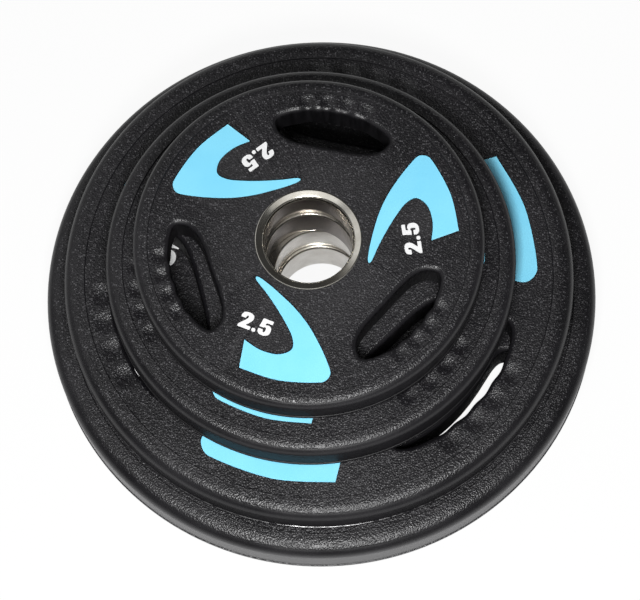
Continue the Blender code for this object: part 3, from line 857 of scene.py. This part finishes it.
def number_on(plate, count, turn, finish):
    """The plate's number once, laid on the upper face in one hook's bend."""
    text = plate.label.replace("_", ".")
    degrees, out = FIGURE_PLACES[plate.label]
    scale = FIGURE_HEIGHT_SHARE * plate.radius
    angle = turn + plate.hand * math.radians(degrees)
    foot = FIGURE_FOOT_SHARE * plate.radius + out
    middle = foot * Vector((math.cos(angle), math.sin(angle)))
    lean = Matrix.Rotation(angle + math.pi / 2 + plate.hand * FIGURE_TILT, 2)
    low, top = plate.face_high - FIGURE_DEEP, plate.face_high + FIGURE_PROUD

    def laid(points, start, swell, level):
        """A figure's line laid on the plate, swollen or shrunk a little."""
        line = grown(pen_line(points, scale, start), swell)
        return at_height([middle + lean @ spot for spot in line], level)

    form = bmesh.new()
    start = -(sum(FIGURES[figure][0] for figure in text) - FIGURE_GAP) / 2
    for figure in text:
        step, outer, inner = FIGURES[figure]
        rings = [laid(outer, start, 0.0, low), laid(outer, start, 0.0, top - FIGURE_BEVEL)]
        rings += [laid(outer, start, -FIGURE_BEVEL, top)]
        if inner:
            rings += [laid(inner, start, FIGURE_BEVEL, top)]
            rings += [laid(inner, start, 0.0, top - FIGURE_BEVEL), laid(inner, start, 0.0, low)]
        skinned(form, rings, capped=not inner)
        start += step
    piece = shown("%s_number_%d" % (plate.body, count), form, plate, finish)
    smoothed(piece)
    return piece


paint, shader, place = new_finish("white_paint", 0.0)
grain = noise(paint, place, PAINT_GRAIN_PER_METRE)
shade = mottled(paint, grain, PAINT_WHITE, PAINT_SHADED, high=0.70)
plug(paint, shader, shade, roughened(paint, grain, *PAINT_ROUGH), grain, PAINT_GRAIN_HEIGHT)

for plate in plates:
    for count, turn in enumerate(SLOT_TURNS, 1):
        piece = number_on(plate, count, turn, paint)
        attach(piece, plate.body)


# ---------------------------------------------------------------------------------------------
# Studio. A wide white floor and one soft lamp overhead, a little nearer than the pile. The room is
# pale at the horizon and dim above, with a long ceiling light and a bright panel to one side.
# ---------------------------------------------------------------------------------------------

FLOOR_SIZE = 30.0
FLOOR_DROP = 0.0002
FLOOR_WHITE = (0.90, 0.90, 0.90, 1.0)
FLOOR_ROUGH = 0.9
FLOOR_SHINE_SHARE = 0.93
# The floor under the pile lies in its shade, but for the far part of the bore, so only that part
# and the floor round the pile are mirrored in walls and rims
SHADE_EDGE = 0.010
SHADE_INNER = 0.04
SHADE_OUTER = 0.15
# What is mirrored of the floor fades along Y, from the near side to the far side
MIRROR_RUN = (-0.25, 0.12)
MIRROR_FAR_SHARE = 0.25
ROOM_HORIZON = 0.50
ROOM_ABOVE = 0.045
HORIZON_BAND = (0.02, 0.28)
# The panel's direction, and how near to it (as a cosine) its edge begins and its full glow
PANEL_SIDE = (-0.58, 0.36, 0.73)
PANEL_EDGE = (0.86, 0.97)
PANEL_GLOW = 0.75
# The ceiling light, as the shares of its direction that it fills along X and Y
STRIP_HALF_LENGTH = 0.42
STRIP_Y = -0.20
STRIP_HALF_WIDTH = 0.13
STRIP_FADE = 0.06
STRIP_GLOW = 0.95
LAMP_PLACE = (-0.03, -0.47, 0.79)
LAMP_SIZE = 0.21
LAMP_WATTS = 7.9

form = bmesh.new()
bmesh.ops.create_grid(form, x_segments=1, y_segments=1, size=FLOOR_SIZE / 2)
mesh = bpy.data.meshes.new("floor")
form.to_mesh(mesh)
form.free()
floor = bpy.data.objects.new("floor", mesh)
floor.location = (0.0, 0.0, -FLOOR_DROP)
bpy.context.scene.collection.objects.link(floor)
white, shader, spot = new_finish("white_floor", 0.0)
shader.inputs["Base Color"].default_value = FLOOR_WHITE
shader.inputs["Roughness"].default_value = FLOOR_ROUGH
shader.inputs["Specular IOR Level"].default_value = 0.0
paths = node(white, "LightPath", {}).outputs
off_axis = node(white, "VectorMath", {0: spot}, operation="LENGTH").outputs["Value"]
along_y = node(white, "SeparateXYZ", {0: spot}).outputs["Y"]
in_bore = maths(white, "LESS_THAN", off_axis, SHADE_INNER)
in_bore = maths(white, "MULTIPLY", in_bore, maths(white, "GREATER_THAN", along_y, SHADE_EDGE))
clear = maths(white, "ADD", maths(white, "GREATER_THAN", off_axis, SHADE_OUTER), in_bore)
mirrored = maths(white, "MULTIPLY", paths["Is Glossy Ray"], clear)
nearness = spread(white, along_y, *MIRROR_RUN, 1.0, MIRROR_FAR_SHARE)
mirrored = maths(white, "MULTIPLY", mirrored, nearness)
seen = maths(white, "MAXIMUM", paths["Is Camera Ray"], mirrored)
seen = maths(white, "MAXIMUM", seen, paths["Is Transmission Ray"])
share = maths(white, "MULTIPLY", seen, FLOOR_SHINE_SHARE)
glow = node(white, "Emission", {"Color": (1.0, 1.0, 1.0, 1.0), "Strength": 1.0}).outputs[0]
mixed = node(white, "MixShader", {0: share, 1: shader.outputs[0], 2: glow}).outputs[0]
white.node_tree.links.new(mixed, white.node_tree.nodes["Material Output"].inputs["Surface"])
mesh.materials.append(white)

room = bpy.data.worlds.new("room")
room.use_nodes = True
bpy.context.scene.world = room
sky = room.node_tree.nodes["Background"]
sky.inputs["Color"].default_value = (1.0, 1.0, 1.0, 1.0)
way = node(room, "TexCoord", {}).outputs["Generated"]
parts = node(room, "SeparateXYZ", {0: way}).outputs
facing = node(room, "VectorMath", {0: way, 1: PANEL_SIDE}, operation="DOT_PRODUCT").outputs["Value"]
panel = spread(room, facing, *PANEL_EDGE, 0.0, PANEL_GLOW)
level = spread(room, parts["Z"], *HORIZON_BAND, ROOM_HORIZON, ROOM_ABOVE)
level = maths(room, "ADD", level, panel)
off_length = maths(room, "ABSOLUTE", parts["X"])
off_width = maths(room, "ABSOLUTE", maths(room, "SUBTRACT", parts["Y"], STRIP_Y))
strip_end, strip_side = STRIP_HALF_LENGTH + STRIP_FADE, STRIP_HALF_WIDTH + STRIP_FADE
strip = spread(room, off_length, STRIP_HALF_LENGTH, strip_end, STRIP_GLOW, 0.0)
within = spread(room, off_width, STRIP_HALF_WIDTH, strip_side, 1.0, 0.0)
strip = maths(room, "MULTIPLY", strip, within)
overhead = maths(room, "GREATER_THAN", parts["Z"], 0.0)
level = maths(room, "MULTIPLY_ADD", strip, overhead, level)
room.node_tree.links.new(level, sky.inputs["Strength"])

lamp_data = bpy.data.lights.new("soft_lamp", "AREA")
lamp_data.size = LAMP_SIZE
lamp_data.energy = LAMP_WATTS
lamp = bpy.data.objects.new("soft_lamp", lamp_data)
lamp.location = LAMP_PLACE
lamp.rotation_euler = Vector(LAMP_PLACE).to_track_quat("Z", "Y").to_euler()
bpy.context.scene.collection.objects.link(lamp)


# ---------------------------------------------------------------------------------------------
# Camera. A long lens that looks down on the pile from the near side, leaning a little.
# ---------------------------------------------------------------------------------------------

CAMERA_PLACE = (-0.00092, -0.50276, 1.41015)
CAMERA_TILT = math.radians(19.70)
CAMERA_LEAN = math.radians(-3.25)
CAMERA_LENS = 139.35
CAMERA_SENSOR = 36.0

camera_data = bpy.data.cameras.new("camera")
camera_data.lens = CAMERA_LENS
camera_data.sensor_width = CAMERA_SENSOR
camera_data.sensor_fit = "HORIZONTAL"
camera = bpy.data.objects.new("camera", camera_data)
camera.matrix_world = (Matrix.Translation(CAMERA_PLACE) @ Matrix.Rotation(CAMERA_TILT, 4, "X")
                       @ Matrix.Rotation(CAMERA_LEAN, 4, "Z"))
bpy.context.scene.collection.objects.link(camera)
bpy.context.scene.camera = camera
bpy.context.scene.view_settings.view_transform = "Standard"

bpy.context.view_layer.update()
